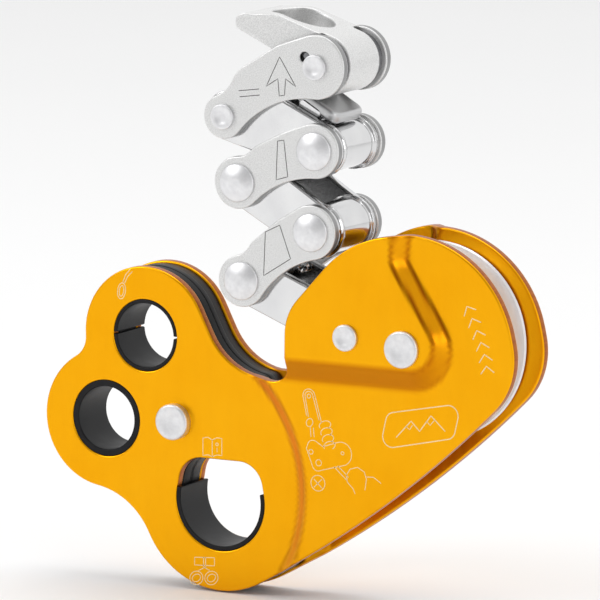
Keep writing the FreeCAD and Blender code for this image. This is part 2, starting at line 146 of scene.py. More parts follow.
def distanceTo(points, loop):
    # signed distance to a closed loop, positive outside
    best = np.full(len(points), 1e9)
    inside = np.zeros(len(points), bool)
    for a, b in zip(loop, np.roll(loop, -1, axis=0)):
        run = b - a
        share = np.clip(((points - a) @ run) / max(run @ run, 1e-12), 0, 1)
        best = np.minimum(best, np.linalg.norm(points - a - share[:, None] * run, axis=1))
        if a[1] != b[1]:
            crosses = (a[1] > points[:, 1]) != (b[1] > points[:, 1])
            inside ^= crosses & (points[:, 0] < run[0] * (points[:, 1] - a[1]) / run[1] + a[0])
    return np.where(inside, -best, best)


def softRise(value, width):
    # 0 below zero and the value itself above, with a rounded corner
    half = width / 2
    return np.where(value < -half, 0, np.where(value > half, value, (value + half) ** 2 / (4 * half)))


def standing(name, data):
    thing = bpy.data.objects.new(name, data)
    bpy.context.scene.collection.objects.link(thing)
    return thing


def makePiece(name, points, faces, materials, faceMaterials=None):
    mesh = bpy.data.meshes.new(name)
    mesh.from_pydata([tuple(p) for p in np.asarray(points) * mm], [], [tuple(f) for f in faces])
    for material in materials:
        mesh.materials.append(material)
    if faceMaterials is not None:
        mesh.polygons.foreach_set("material_index", faceMaterials)
    work = bmesh.new()
    work.from_mesh(mesh)
    bmesh.ops.remove_doubles(work, verts=work.verts, dist=1e-6)
    bmesh.ops.dissolve_degenerate(work, edges=work.edges, dist=1e-7)
    bmesh.ops.recalc_face_normals(work, faces=work.faces)
    work.to_mesh(mesh)
    work.free()
    mesh.shade_smooth()
    return standing(name, mesh)


cap = {"margin": 0.55, "support": 0.15}      # a share of the spacing, and a flat band inside an edge


def fillCap(loops, spacing):
    # triangles between the first loop and the holes, on an even grid of points if spacing is given
    points = np.concatenate(loops)
    if spacing:
        low, high = loops[0].min(0), loops[0].max(0)
        rows = []
        for i, z in enumerate(np.arange(low[1], high[1], spacing * math.sqrt(3) / 2)):
            across = np.arange(low[0] + (i % 2) * spacing / 2, high[0], spacing)
            rows.append(np.column_stack([across, np.full(len(across), z)]))
        grid = np.concatenate(rows)
        margin = spacing * cap["margin"]
        clear = distanceTo(grid, loops[0]) < -margin
        for hole in loops[1:]:
            clear &= distanceTo(grid, hole) > margin
        points = np.concatenate([points, grid[clear]])
    edges, start = [], 0
    for loop in loops:
        edges += [(start + i, start + (i + 1) % len(loop)) for i in range(len(loop))]
        start += len(loop)
    made, _, faces, _, _, _ = delaunay_2d_cdt([Vector(p) for p in points], edges, [], 1, 1e-6)
    made = np.array([tuple(p) for p in made])
    centres = np.array([made[list(face)].mean(0) for face in faces])
    solid = np.ones(len(faces), bool)
    for hole in loops[1:]:
        solid &= distanceTo(centres, hole) > 0
    return made, [face for face, keep in zip(faces, solid) if keep]


def bandFaces(rows, count, ringed=False, closed=True):
    # quads between neighbouring rows of points; ringed also joins the last row to the first
    faces = []
    for k in range(rows if ringed else rows - 1):
        above = (k + 1) % rows
        for i in range(count if closed else count - 1):
            j = (i + 1) % count
            faces.append((k * count + i, k * count + j, above * count + j, above * count + i))
    return faces


def slab(outline, holes, outer, inner, side, edge, spacing=None, support=cap["support"], corners=3, back=0):
    # a plate with rounded edges between two levels; outline and holes are functions of an inset
    # the cut wall is marked 1 and the inner face with the mark back, for their materials
    borders = [outline, *holes]
    points, faces, marks = [], [], []

    def add(newPoints, newFaces, mark):
        base = sum(len(p) for p in points)
        points.append(newPoints)
        faces.extend([tuple(base + i for i in face) for face in newFaces])
        marks.extend([mark] * len(newFaces))

    inset = edge + support
    plane, capFaces = fillCap([border(inset) for border in borders], spacing)
    for level, mark in ((outer, 0), (inner, back)):
        add(np.column_stack([plane[:, 0], side * level(plane), plane[:, 1]]), capFaces, mark)
    steps = [(inset, 0.0)]
    for k in range(corners + 1):
        angle = math.pi / 2 * k / corners
        steps.append((edge * (1 - math.sin(angle)), edge * (1 - math.cos(angle))))
    for border in borders:
        rows = []
        for level, sign in ((outer, -1), (inner, 1)):
            half = []
            for into, depth in steps:
                flat = border(into)
                half.append(np.column_stack([flat[:, 0], side * (level(flat) + sign * depth), flat[:, 1]]))
            rows += half if sign < 0 else half[::-1]
        count, base = len(rows[0]), len(marks)
        add(np.concatenate(rows), bandFaces(len(rows), count), 0)
        for k in range(len(steps) - 1, len(rows) - 1):
            marks[base + k * count:base + (k + 1) * count] = [1 if k < len(steps) else back] * count
    return np.concatenate(points), faces, marks


def constant(value):
    return lambda flat: np.full(len(flat), float(value))


def lathe(profile, place, count=64):
    # profile is a list of (radius, y); the axis runs along Y through place
    turn = np.linspace(0, 2 * math.pi, count, endpoint=False)
    rows = [np.column_stack([place[0] + r * np.cos(turn), np.full(count, y), place[1] + r * np.sin(turn)])
            for r, y in profile]
    return np.concatenate(rows), bandFaces(len(rows), count)


def merged(*parts):
    points, faces, base = [], [], 0
    for part in parts:
        points.append(part[0])
        faces += [tuple(base + i for i in face) for face in part[1]]
        base += len(part[0])
    return np.concatenate(points), faces


class Wire:
    # one output socket, with the sums that are used on it

    def __init__(self, paint, socket):
        self.paint, self.socket = paint, socket

    def math(self, operation, first, second):
        return self.paint.node("ShaderNodeMath", {"operation": operation}, {0: first, 1: second})

    def __add__(self, other):
        return self.math("ADD", self, other)

    def __radd__(self, other):
        return self.math("ADD", other, self)

    def __mul__(self, other):
        return self.math("MULTIPLY", self, other)

    def __rmul__(self, other):
        return self.math("MULTIPLY", other, self)


class Paint:
    # the nodes of a material, or of the world, under construction

    def __init__(self, name, kind=bpy.data.materials, place="Object"):
        self.owner = kind.new(name)
        self.owner.use_nodes = True
        self.tree = self.owner.node_tree
        self.tree.nodes.clear()
        self.place = self.node("ShaderNodeTexCoord", {}, {}, place)

    def node(self, kind, settings=None, sockets=None, output=0):
        made = self.tree.nodes.new(kind)
        for key, value in (settings or {}).items():
            if key == "stops":
                ramp = made.color_ramp
                while len(ramp.elements) < len(value):
                    ramp.elements.new(0.5)
                for element, (position, color) in zip(ramp.elements, value):
                    element.position, element.color = position, color
            else:
                setattr(made, key, value)
        for key, value in (sockets or {}).items():
            if isinstance(value, Wire):
                self.tree.links.new(value.socket, made.inputs[key])
            else:
                made.inputs[key].default_value = value
        return Wire(self, made.outputs[output]) if len(made.outputs) else made

    def noise(self, scale, detail=3.0, roughness=0.55, place=None):
        # scale is in cycles per metre
        return self.node("ShaderNodeTexNoise", {}, {"Vector": place or self.place, "Scale": scale,
                                                    "Detail": detail, "Roughness": roughness})

    def ramp(self, value, low, high):
        return self.node("ShaderNodeMapRange", {"clamp": True},
                         {"Value": value, "From Min": low, "From Max": high})

    def blend(self, share, first, second):
        return self.node("ShaderNodeMix", {"data_type": "RGBA"}, {0: share, 6: first, 7: second}, 2)

    def bump(self, height, strength, distance):
        return self.node("ShaderNodeBump", {},
                         {"Height": height, "Strength": strength, "Distance": distance})

    def finish(self, **sockets):
        named = {key.replace("_", " "): value for key, value in sockets.items()}
        shader = self.node("ShaderNodeBsdfPrincipled", {}, named)
        self.node("ShaderNodeOutputMaterial", {}, {"Surface": shader})
        return self.owner


def anodisedGold():
    # bend is the deep brown of the painted shade on the plate's bends
    look = {"color": (0.960, 0.440, 0.006, 1), "deep": (0.920, 0.390, 0.003, 1),
            "bend": (0.46, 0.105, 0.003, 1), "roughness": 0.30}
    paint = Paint("anodised_gold")
    cloud = paint.noise(60, 3)
    grain = paint.noise(5200, 2)
    scuff = paint.noise(900, 4, 0.7, paint.node("ShaderNodeMapping", {}, {
        "Vector": paint.place, "Rotation": (0, 0.5, 0), "Scale": (1, 1, 0.12)}))
    color = paint.blend(paint.ramp(cloud, 0.35, 0.7) * 0.5, look["color"], look["deep"])
    # painted shade: the bend attribute darkens the gold towards deep brown on the bends and down-facing
    # slopes
    stretch = paint.node("ShaderNodeAttribute", {"attribute_name": "bend"}, {}, 2)
    color = paint.blend(stretch, color, look["bend"])
    return paint.finish(Base_Color=color, Metallic=1.0,
                        Roughness=look["roughness"] + paint.ramp(scuff, 0.45, 0.8) * 0.10,
                        Normal=paint.bump(grain, 0.10, 0.00004))


def shadedCopperEdge():
    # painted shade: the cut walls are a dark copper-brown for the shade they fall in; the streaks are a
    # grain in the metal
    look = {"color": (0.36, 0.090, 0.006, 1), "worn": (0.45, 0.13, 0.012, 1), "roughness": 0.30}
    paint = Paint("anodised_cut_edge")
    streak = paint.noise(1400, 2, 0.5, paint.node("ShaderNodeMapping", {}, {
        "Vector": paint.place, "Scale": (1, 0.15, 1)}))
    color = paint.blend(paint.ramp(streak, 0.4, 0.65), look["color"], look["worn"])
    return paint.finish(Base_Color=color, Metallic=0.85, Roughness=look["roughness"] + streak * 0.12,
                        Normal=paint.bump(streak, 0.08, 0.00003))


def blackNylon():
    look = {"color": (0.004, 0.004, 0.005, 1), "pale": (0.009, 0.009, 0.010, 1), "roughness": 0.34}
    paint = Paint("black_nylon")
    grain = paint.noise(3500, 3)
    cloud = paint.noise(250, 2)
    color = paint.blend(paint.ramp(cloud, 0.35, 0.7), look["color"], look["pale"])
    return paint.finish(Base_Color=color, Roughness=look["roughness"] + cloud * 0.18,
                        Specular_IOR_Level=0.22, Normal=paint.bump(grain, 0.25, 0.00004))


def blastedSteel():
    look = {"color": (0.64, 0.64, 0.635, 1), "pale": (0.84, 0.84, 0.835, 1), "roughness": 0.36}
    paint = Paint("blasted_steel")
    fine = paint.noise(4200, 2, 0.6)
    coarse = paint.noise(1500, 3, 0.6)
    cloud = paint.noise(90, 2)
    color = paint.blend(paint.ramp(fine, 0.35, 0.65), look["color"], look["pale"])
    return paint.finish(Base_Color=color, Metallic=0.85, Roughness=look["roughness"] + cloud * 0.10,
                        Normal=paint.bump(coarse * 0.4 + fine * 0.6, 0.35, 0.00006))


def polishedSteel(name="polished_steel", roughness=0.10, tone=0.74):
    paint = Paint(name)
    hair = paint.noise(1400, 4, 0.7, paint.node("ShaderNodeMapping", {}, {
        "Vector": paint.place, "Scale": (1, 0.06, 1)}))
    cloud = paint.noise(120, 2)
    color = paint.blend(paint.ramp(cloud, 0.3, 0.7), (tone, tone, tone, 1),
                        (tone * 0.9, tone * 0.9, tone * 0.91, 1))
    return paint.finish(Base_Color=color, Metallic=1.0,
                        Roughness=roughness + paint.ramp(hair, 0.4, 0.8) * 0.12,
                        Normal=paint.bump(hair, 0.06, 0.00003))


def brightRivet():
    look = {"color": (0.84, 0.84, 0.85, 1), "dull": (0.74, 0.74, 0.755, 1), "roughness": 0.34}
    paint = Paint("bright_rivet")
    cloud = paint.noise(700, 3)
    color = paint.blend(paint.ramp(cloud, 0.3, 0.7), look["color"], look["dull"])
    return paint.finish(Base_Color=color, Metallic=0.9, Roughness=look["roughness"] + cloud * 0.12,
                        Normal=paint.bump(cloud, 0.10, 0.00008))


def sheaveMetal():
    look = {"color": (0.86, 0.86, 0.87, 1), "dull": (0.78, 0.78, 0.80, 1), "roughness": 0.34}
    paint = Paint("sheave_aluminium")
    turned = paint.noise(1800, 2, 0.5, paint.node("ShaderNodeMapping", {}, {
        "Vector": paint.place, "Scale": (0.1, 1, 0.1)}))
    color = paint.blend(paint.ramp(turned, 0.3, 0.7), look["color"], look["dull"])
    return paint.finish(Base_Color=color, Metallic=0.6, Roughness=look["roughness"] + turned * 0.1,
                        Normal=paint.bump(turned, 0.12, 0.00004))


def darkSteelAndShade():
    # dark steel for the stop pin and the spring steel; on the washer this darkness is painted shade
    look = {"color": (0.16, 0.16, 0.17, 1), "pale": (0.30, 0.30, 0.31, 1), "roughness": 0.28}
    paint = Paint("dark_steel")
    cloud = paint.noise(900, 3)
    color = paint.blend(cloud, look["color"], look["pale"])
    return paint.finish(Base_Color=color, Metallic=1.0, Roughness=look["roughness"] + cloud * 0.15,
                        Normal=paint.bump(cloud, 0.12, 0.00005))


def laserMark(name, color, other, metallic):
    paint = Paint(name)
    cloud = paint.noise(2500, 2)
    return paint.finish(Base_Color=paint.blend(cloud, color, other), Metallic=metallic,
                        Roughness=0.55 + cloud * 0.1)


gold, shadedCutEdge, nylon = anodisedGold(), shadedCopperEdge(), blackNylon()
steel, chrome, rivet = blastedSteel(), polishedSteel(), brightRivet()
# a darker copy of polished steel: painted shade on the inner faces of the link arms
shadedSteel = polishedSteel("polished_inner_steel", 0.16, 0.30)
satinSteel = polishedSteel("satin_steel", 0.30, 0.62)
bearing = polishedSteel("bearing_steel", 0.2, 0.6)
# a dark grey copy of polished steel: painted shade on the chain plates' cut walls
shadedMachined = polishedSteel("machined_edge", 0.34, 0.34)
aluminium, dark = sheaveMetal(), darkSteelAndShade()
paleInlay = laserMark("pale_laser_mark", (0.97, 0.80, 0.50, 1), (0.95, 0.70, 0.33, 1), 0.1)
darkInlay = laserMark("dark_laser_mark", (0.05, 0.05, 0.05, 1), (0.16, 0.155, 0.15, 1), 0.4)
slotLooks = {"anodised_plate": gold, "black_nylon": nylon, "bright_rivet": rivet, "blasted_steel": steel,
             "polished_steel": chrome, "sheave_aluminium": aluminium, "bearing_steel": bearing,
             "dark_shield": dark, "spring_steel": dark}
for part in frame["record"]["subparts"]:
    node = frame["nodes"][part["node"]]
    node.data.materials.clear()
    node.data.materials.append(slotLooks[part["material_slot"]])
print("materials made")


# A side plate steps outwards twice: at its first bend, and up to the boss beside the sheave.
plate = {
    "thickness": 2.7, "edge": 0.4, "spacing": 0.9,
    "lobe": 7.125, "channel": 9.45, "boss": 12.9,      # outer levels from the mid-plane
    "slope": (-3.1, 0.1), "soft": 0.8,                 # where the first bend lies, and how soft it is
    "lobeSide": [(-16.0, 3.4, 41.9), (-18.6, 60.0, 6.0), (-70.0, 60.0, 6.0), (-70.0, -40.0, 6.0),
                 (-5.6, -40.0, 6.0)],
    "bossFoot": ((56.6, 43.7, 10.5), (60.0, 66.5, -5.0), 19.5, 52.0),
    "bossCrest": ((57.2, 45.0, 6.5), (58.3, 66.8, -6.5), 22.5, 48.0),
    "bossSoft": 0.26, "bossTop": 84.0, "bossCorner": 5.0, "bossRun": 0.5,
    "harnessLobe": 23.3, "upperLobe": 17.6, "middleLobe": 17.8, "upperWaist": 6.0, "lowerWaist": 20.0,
    "sheaveCorner": (11.4, -1.2, 18.0), "sheaveLobe": (-0.4, -1.5, 29.6),     # both from the axle
    "footBow": 300.0, "shoulder": [(34.9, 45.0, 13.1), (16.2, 37.6, -5.5), (13.1, 50.4, -18.0)],
    "upperHole": 9.2, "middleHole": 9.8,
    "harnessHole": [(0.0, -0.2, 12.8), (5.4, 3.6, 6.8), (-5.4, 3.6, 6.8)],
    "slopeStep": 0.2, "steepest": 1.35,
    # the bend weights set the painted shade: down-facing rise, slope and curvature
    "bendStep": 0.5, "bendRise": 0.60, "bendLean": 0.22, "bendCurve": 0.55, "bendMost": 0.95,
}


def plateOutline():
    harness, upper = (*harnessHole, plate["harnessLobe"]), (*upperHole, plate["upperLobe"])
    centre = (*middleHole, plate["middleLobe"])
    corner, lobe = [(axle[0] + x, axle[1] + z, radius) for x, z, radius in
                    (plate["sheaveCorner"], plate["sheaveLobe"])]
    return [harness, bridge(harness, corner, plate["footBow"], hollow=False), corner, lobe,
            *plate["shoulder"], upper, bridge(upper, centre, plate["upperWaist"]), centre,
            bridge(centre, harness, plate["lowerWaist"])]


def plateHoles():
    # the same holes go through the plates and the core
    rounds = [(*upperHole, plate["upperHole"]), (*middleHole, plate["middleHole"])]
    holes = [lambda inset, circle=circle: ringPoints(circle, inset) for circle in rounds]
    return holes + [lambda inset: beltPoints(plate["harnessHole"], inset)]


def bossLoop(rightBend, topBend, leftX, topX):
    corner, top = plate["bossCorner"], plate["bossTop"]
    return beltPoints([(leftX, rightBend[1] - rightBend[2] + corner, corner), rightBend, topBend,
                       (topX, top, corner), (leftX, top, corner)])


lobeLoop = beltPoints(plate["lobeSide"])
footLoop, crestLoop = bossLoop(*plate["bossFoot"]), bossLoop(*plate["bossCrest"])


def outerLevel(flat):
    start, end = plate["slope"]
    out = distanceTo(flat, lobeLoop)
    share = (softRise(out - start, plate["soft"]) - softRise(out - end, plate["soft"])) / (end - start)
    level = plate["lobe"] + (plate["channel"] - plate["lobe"]) * share
    within, beyond = -distanceTo(flat, footLoop), distanceTo(flat, crestLoop)
    climb = within / np.maximum(within + beyond, plate["bossRun"])
    share = softRise(climb, plate["bossSoft"]) - softRise(climb - 1, plate["bossSoft"])
    return level + (plate["boss"] - plate["channel"]) * share


def innerLevel(flat):
    step = plate["slopeStep"]
    here = outerLevel(flat)
    slopeX = (outerLevel(flat + [step, 0]) - here) / step
    slopeZ = (outerLevel(flat + [0, step]) - here) / step
    return here - plate["thickness"] * np.minimum(np.sqrt(1 + slopeX ** 2 + slopeZ ** 2), plate["steepest"])


def bendShadeShare(flat):
    # how steep and how sharply bent the plate is at each place, most where it faces down; the gold is
    # darkened there as painted shade on the bends
    step = plate["bendStep"]
    here = outerLevel(flat)
    right, left = outerLevel(flat + [step, 0]), outerLevel(flat - [step, 0])
    above, below = outerLevel(flat + [0, step]), outerLevel(flat - [0, step])
    run, rise = (right - left) / (2 * step), (above - below) / (2 * step)
    curve = np.abs(right + left + above + below - 4 * here) / step ** 2
    share = (plate["bendRise"] * np.maximum(rise, 0) + plate["bendLean"] * np.hypot(run, rise)
             + plate["bendCurve"] * curve)
    return np.clip(share, 0, plate["bendMost"])


def sidePlate(name, side, node):
    outline = plateOutline()
    points, faces, marks = slab(lambda inset: beltPoints(outline, -inset), plateHoles(), outerLevel,
                                innerLevel, side, plate["edge"], plate["spacing"])
    # the cut walls take the dark copper-brown, painted shade
    piece = makePiece(name, points, faces, [gold, shadedCutEdge], marks)
    # the bend attribute holds the painted shade for the plate's bends
    bend = piece.data.attributes.new("bend", "FLOAT", "POINT")
    places = np.array([vertex.co for vertex in piece.data.vertices]) / mm
    bend.data.foreach_set("value", bendShadeShare(places[:, [0, 2]]).astype(np.float32))
    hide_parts(node)
    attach(piece, "frame")


sidePlate("front_plate", -1, "front_side_plate")
sidePlate("rear_plate", 1, "rear_side_plate")
print("side plates made")


# The black core fills the space between the plates, and liners edge the holes.
core = {"setback": 0.5, "bend": 3.0, "edge": 0.5, "ribHalf": 1.1, "ribRise": 0.15, "ribEdge": 0.3}
soft = {"flatWithin": 0.5, "sharpPast": 35.0, "segments": 2, "liner": 0.3, "pin": 0.15, "washer": 0.2}


def offsetLoop(loop, inset):
    # moves each point of an anticlockwise loop inwards, square to its two neighbours
    run = np.roll(loop, -1, axis=0) - np.roll(loop, 1, axis=0)
    run /= np.linalg.norm(run, axis=1)[:, None]
    return loop + np.column_stack([-run[:, 1], run[:, 0]]) * inset


def clippedLoop(loop, region):
    # the stretch of a loop inside a region, closed along the region's own edge
    inside = distanceTo(loop, region) < 0
    first = next(i for i in range(len(loop)) if inside[i] and not inside[i - 1])
    stretch = [loop[(first + i) % len(loop)] for i in range(int(inside.sum()))]
    within = distanceTo(region, loop) < 0
    first = next(i for i in range(len(region)) if within[i] and not within[i - 1])
    closing = [region[(first + i) % len(region)] for i in range(int(within.sum()))]
    return np.array(stretch + closing)


def coreSpacer():
    region = beltPoints([(x, z, r - core["bend"]) for x, z, r in plate["lobeSide"]])
    loop = clippedLoop(beltPoints(plateOutline(), -core["setback"]), region)
    holes, half = plateHoles(), boxOf("core_spacer")[1].y
    body = slab(lambda inset: offsetLoop(loop, inset), holes, constant(half), constant(-half), -1,
                core["edge"])
    rib = slab(lambda inset: offsetLoop(loop, inset - core["ribRise"]), holes, constant(core["ribHalf"]),
               constant(-core["ribHalf"]), -1, core["ribEdge"])
    piece = makePiece("core", *merged(body, rib), [nylon])
    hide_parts("core_spacer")
    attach(piece, "frame")


def nodeCopy(node, name, look, flatWithin=None):
    # a copy of a simple node as one joined mesh; faces within an angle of each other become one
    mesh = frame["nodes"][node].data.copy()
    mesh.materials.clear()
    mesh.materials.append(look)
    work = bmesh.new()
    work.from_mesh(mesh)
    bmesh.ops.remove_doubles(work, verts=work.verts, dist=1e-6)
    if flatWithin:
        bmesh.ops.dissolve_limit(work, angle_limit=flatWithin, verts=work.verts, edges=work.edges)
    work.to_mesh(mesh)
    work.free()
    mesh.shade_smooth()
    return standing(name, mesh)


def solidMesh(piece):
    # turns what the modifiers make into a plain mesh
    made = bpy.data.meshes.new_from_object(piece.evaluated_get(bpy.context.evaluated_depsgraph_get()))
    piece.modifiers.clear()
    piece.data = made


def softened(node, name, body, look, width):
    # a node with its edges rounded
    piece = nodeCopy(node, name, look, math.radians(soft["flatWithin"]))
    bevel = piece.modifiers.new("edges", "BEVEL")
    bevel.width, bevel.segments, bevel.limit_method = width * mm, soft["segments"], "ANGLE"
    bevel.angle_limit = math.radians(soft["sharpPast"])
    piece.modifiers.new("normals", "WEIGHTED_NORMAL")
    solidMesh(piece)
    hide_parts(node)
    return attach(piece, body)


coreSpacer()
for node, name in (("upper_hole_liner", "upper_liner"), ("upper_hole_keeper", "upper_keeper"),
                   ("middle_hole_bushing", "middle_bushing"), ("harness_hole_liner", "harness_liner")):
    softened(node, name, "frame", nylon, soft["liner"])
print("core and liners made")


# A chain plate gives its two pins, then its end radius, tip radius, crown, waist and neck.
# A place on a link is (along, left) of the line between its two pins, with a radius after it.
chain = {
    "edge": 0.35, "linkEdge": 0.45, "armThickness": 2.5,
    "plates": {1: ("b1", "a1", 8.1, 5.6, 9.3, 26.0, 9.0), 2: ("b2", "a2", 6.9, 6.6, 7.3, 25.0, 6.0),
               3: ("b3", "a3", 6.9, 6.6, 7.3, 25.0, 6.0)},
    "bulgeAt": 0.74, "shoulderAt": 0.40, "shoulderDrop": 0.5,
    "stopHole": (3.8, 142.0, 1.35),                    # length and lean from the top pin, and radius
    "barrels": {"upper": 6.0, "lower": 6.4}, "fillet": 0.7, "embed": 1.0,
    "upperEnds": (6.4, 6.4), "upperCrown": (12.0, 0.6, 8.3), "neckEdge": 0.3,
    "neck": ((18.6, 9.0, 1.5), (19.8, 5.2, 1.4), (22.5, 8.2, 1.2)),
    "pad": ((14.0, 11.7), (28.2, 7.9)), "padThickness": 3.2,
    "padCorner": 2.6, "padHeel": 1.6, "padEdge": 1.0, "padSupport": 0.1,
    "lowerEnds": (6.1, 6.6), "lowerCrown": (10.0, 0.2, 7.3),
    "bottomEnds": (6.1, 6.0), "web": ((7.2, -3.5, 2.2), (11.0, -3.6, 2.2)), "webSink": 0.5,
    "lug": (6.2, 4.4, 1.6), "lugReach": 1.8, "lugChamfer": 0.3,
}
plateBody = {1: "top_plates", 2: "middle_plates", 3: "lower_plates"}


def walk(place, length, lean):
    angle = math.radians(lean)
    return place[0] + length * math.cos(angle), place[1] + length * math.sin(angle)


def circleOn(start, end, forward, left, radius):
    length = math.dist(start, end)
    ux, uz = (end[0] - start[0]) / length, (end[1] - start[1]) / length
    return start[0] + forward * ux - left * uz, start[1] + forward * uz + left * ux, radius


def outerOutline(b, a, endRadius, tipRadius, crown, waist, neck):
    length = math.dist(b, a)
    left, right = (*b, tipRadius), (*a, endRadius)
    bulge = circleOn(b, a, length * chain["bulgeAt"], 0, crown)
    shoulder = circleOn(b, a, length * chain["shoulderAt"], 0, crown - chain["shoulderDrop"])
    return [left, bridge(left, right, waist), right, bulge, shoulder, bridge(shoulder, left, neck)]


def chainPlate(number, side, word):
    b, a, *shape = chain["plates"][number]
    outline = outerOutline(pins[b], pins[a], *shape)
    holes = []
    if number == 1 and side < 0:
        length, lean, radius = chain["stopHole"]
        stop = (*walk(pins["a1"], length, lean), radius)
        holes = [lambda inset: ringPoints(stop, inset, 36)]
    node = f"outer_plate_{number}_{word}"
    low, high = boxOf(node)
    inner, outer = sorted((abs(low.y), abs(high.y)))
    points, faces, marks = slab(lambda inset: beltPoints(outline, -inset), holes, constant(outer),
                                constant(inner), side, chain["edge"])
    # the cut walls take the darker steel, painted shade
    piece = makePiece(f"chain_plate_{number}_{word}", points, faces, [steel, shadedMachined], marks)
    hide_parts(node)
    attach(piece, plateBody[number])


def arms(outline, face, inner):
    # the two arms of a link, one on each side
    return [slab(lambda inset: beltPoints(outline, -inset), [], constant(face), constant(inner), side,
                 chain["linkEdge"], back=2) for side in (-1, 1)]


def crossBar(outline, half):
    # the metal that joins the arms
    return slab(lambda inset: beltPoints(outline, -inset), [], constant(half), constant(-half), -1,
                chain["neckEdge"])


def padSolid(start, end, width, thickness):
    # a flat pad across the link, from start to end in its plane, with round corners at the far end
    length, lean = math.dist(start, end), math.atan2(end[1] - start[1], end[0] - start[0])
    corner, heel, half = chain["padCorner"], chain["padHeel"], width / 2
    outline = [(0, -half + heel, heel), (length - corner, -half + corner, corner),
               (length - corner, half - corner, corner), (0, half - heel, heel)]
    points, faces, marks = slab(lambda inset: beltPoints(outline, -inset), [], constant(thickness / 2),
                                constant(-thickness / 2), 1, chain["padEdge"],
                                support=chain["padSupport"], corners=5)
    u, rise, y = points[:, 0], points[:, 1], points[:, 2]
    moved = np.column_stack([start[0] + u * math.cos(lean) - rise * math.sin(lean), y,
                             start[1] + u * math.sin(lean) + rise * math.cos(lean)])
    return moved, faces, [3] * len(marks)


def barrel(place, radius, inner):
    rise, deep = chain["fillet"], inner + chain["embed"]
    end = [(radius + rise * (1 - math.sin(t)), inner - rise * (1 - math.cos(t)))
           for t in np.linspace(0, math.pi / 2, 6)]
    half = [(0.0, deep), (radius + rise, deep)] + end
    return lathe([(r, -y) for r, y in half] + [(r, y) for r, y in half[::-1]], place, 96)


def linkPiece(name, node, body, solids):
    marks = [mark for solid in solids for mark in (solid[2] if len(solid) > 2 else [0] * len(solid[1]))]
    # the inner faces take the darker steel, painted shade between the arms
    piece = makePiece(name, *merged(*solids), [chrome, chrome, shadedSteel, satinSteel], marks)
    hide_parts(node)
    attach(piece, body)


linkFace = boxOf("upper_friction_link")[1].y
linkInner = linkFace - chain["armThickness"]


def ends(start, end, kind):
    first, last = chain[kind]
    return [(*start, first), (*end, last)]


def upperLink():
    start, end = pins["b1"], pins["a2"]
    outline = ends(start, end, "upperEnds") + [circleOn(start, end, *chain["upperCrown"])]
    neck = [circleOn(start, end, *circle) for circle in chain["neck"]]
    heel, tip = [circleOn(start, end, *place, 0)[:2] for place in chain["pad"]]
    solids = arms(outline, linkFace, linkInner)
    solids += [barrel(end, chain["barrels"]["upper"], linkInner), crossBar(neck, linkInner),
               padSolid(heel, tip, 2 * linkInner, chain["padThickness"])]
    linkPiece("upper_link", "upper_friction_link", "upper_link", solids)


def lowerLink():
    start, end = pins["b2"], pins["a3"]
    outline = ends(start, end, "lowerEnds") + [circleOn(start, end, *chain["lowerCrown"])]
    linkPiece("lower_link", "lower_friction_link", "lower_link",
              arms(outline, linkFace, linkInner) + [barrel(end, chain["barrels"]["lower"], linkInner)])


def bottomLink():
    start, end = pins["b3"], stud
    web = [circleOn(start, end, *circle) for circle in chain["web"]]
    solids = arms(ends(start, end, "bottomEnds"), linkFace, linkInner)
    solids.append(crossBar(web, linkInner + chain["webSink"]))
    x, z, radius = circleOn(start, end, *chain["lug"])
    root, reach, cut = linkInner + chain["webSink"], linkInner - chain["lugReach"], chain["lugChamfer"]
    profile = [(0.0, root), (radius, root), (radius, reach + cut), (radius - cut, reach), (0.0, reach)]
    for side in (-1, 1):
        solids.append(lathe([(r, side * y) for r, y in profile], (x, z), 32))
    linkPiece("bottom_arms", "bottom_link", "bottom_link", solids)


for number in (1, 2, 3):
    chainPlate(number, -1, "front")
    chainPlate(number, 1, "rear")
upperLink()
lowerLink()
bottomLink()
print("chain made")


# The lever is cast, so its edges and inner corners are all round.
lever = {"voxel": 0.24, "smoothing": 0.5, "rounds": 7}


def castLever():
    piece = nodeCopy("control_lever", "cast_lever", steel)
    remesh = piece.modifiers.new("cast", "REMESH")
    remesh.mode, remesh.voxel_size, remesh.use_smooth_shade = "VOXEL", lever["voxel"] * mm, True
    smooth = piece.modifiers.new("smooth", "SMOOTH")
    smooth.factor, smooth.iterations = lever["smoothing"], lever["rounds"]
    solidMesh(piece)
    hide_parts("control_lever")
    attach(piece, "lever")


castLever()
softened("lever_stop_pin", "stop_pin", "lever", dark, soft["pin"])
# the washer's dark colour is painted shade for the narrow gap between the lever and the plates
softened("lever_washer", "friction_washer", "lever", dark, soft["washer"])
print("lever made")


sheave = {"radius": 25.0, "groove": 5.4, "grooveCentre": 24.8, "lip": 0.35, "hub": 11.0, "clip": 11.7,
          "recess": (14.0, 18.0), "web": 3.2, "bearing": 3.5, "step": 9.8, "grooveEnd": 0.03,
          "crispPast": 40.0}


